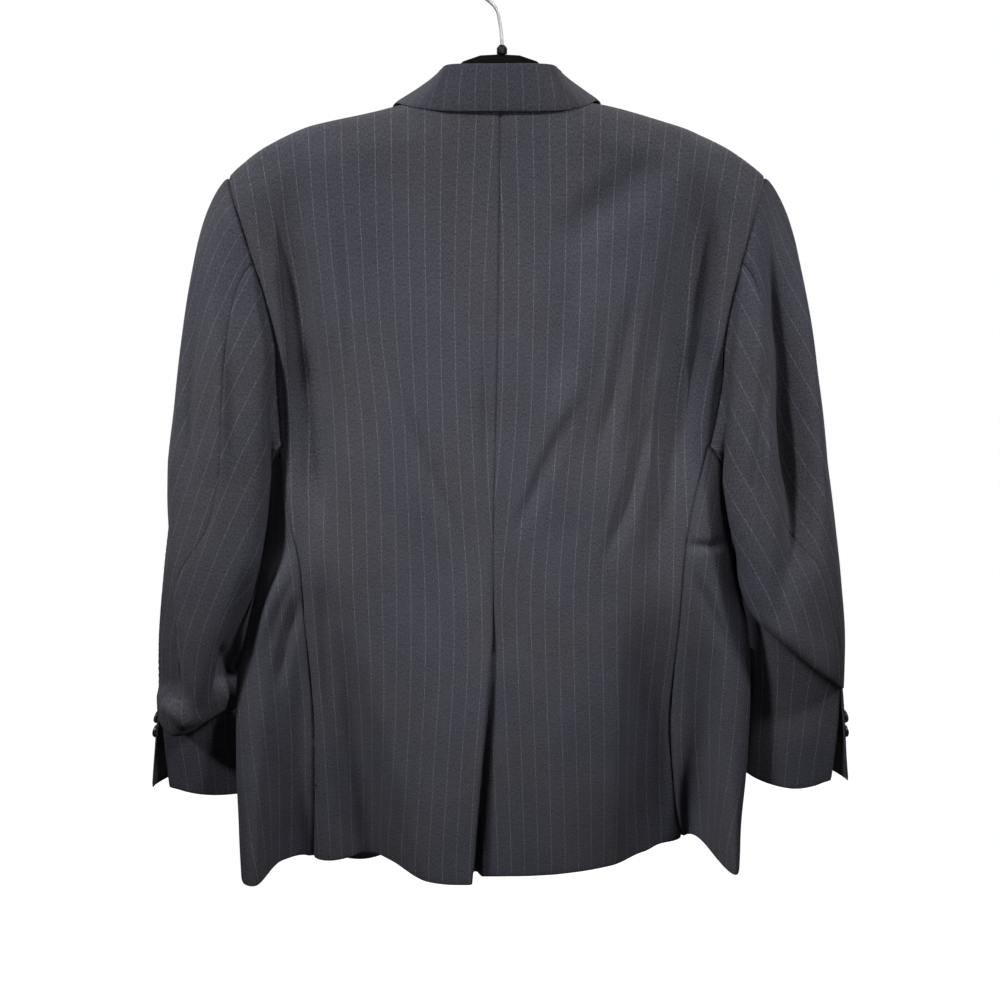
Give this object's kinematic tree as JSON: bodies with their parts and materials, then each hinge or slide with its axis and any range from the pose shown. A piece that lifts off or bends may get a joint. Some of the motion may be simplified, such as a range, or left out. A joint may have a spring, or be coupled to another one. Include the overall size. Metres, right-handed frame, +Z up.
{
  "type": "two-button blazer on a hanger",
  "caption": "Charcoal pinstripe blazer with notched lapels, hip pocket flaps and a centre back vent, hanging on a slim flocked hanger by its wire hook.",
  "frame": {"origin": "inside top of the hanger's hook, where a rail carries it", "axes": "+Z up, the front of the garment faces -Y and its back faces +Y, +X is towards the wearer's left"},
  "size_m": [0.7796, 0.1531, 0.9677],
  "materials": {
    "back_left": "pinstripe wool suiting",
    "back_right": "pinstripe wool suiting",
    "side_left": "pinstripe wool suiting",
    "side_right": "pinstripe wool suiting",
    "front_left": "pinstripe wool suiting",
    "front_right": "pinstripe wool suiting",
    "lapel_left": "pinstripe wool suiting",
    "lapel_right": "pinstripe wool suiting",
    "collar": "pinstripe wool suiting",
    "sleeve_top_left": "pinstripe wool suiting",
    "sleeve_top_right": "pinstripe wool suiting",
    "sleeve_under_left": "pinstripe wool suiting",
    "sleeve_under_right": "pinstripe wool suiting",
    "pocket_flap_left": "pinstripe wool suiting",
    "pocket_flap_right": "pinstripe wool suiting",
    "button_horn": "dark horn-like resin, satin",
    "hanger_flock": "black flock on moulded plastic",
    "hanger_plastic": "moulded black",
    "hook_wire": "bright plated wire"
  },
  "bodies": {
    "root": {"back_left": "back_left", "back_right": "back_right", "side_left": "side_left", "side_right": "side_right", "front_left": "front_left", "front_right": "front_right", "lapel_left": "lapel_left", "lapel_right": "lapel_right", "collar": "collar", "sleeve_top_left": "sleeve_top_left", "sleeve_top_right": "sleeve_top_right", "sleeve_under_left": "sleeve_under_left", "sleeve_under_right": "sleeve_under_right", "pocket_flap_left": "pocket_flap_left", "pocket_flap_right": "pocket_flap_right", "front_button_1": "button_horn", "front_button_2": "button_horn", "cuff_button_left_1": "button_horn", "cuff_button_left_2": "button_horn", "cuff_button_right_1": "button_horn", "cuff_button_right_2": "button_horn", "hanger_frame": "hanger_flock", "hanger_knob": "hanger_plastic", "hanger_hook": "hook_wire"}
  },
  "joints": []
}
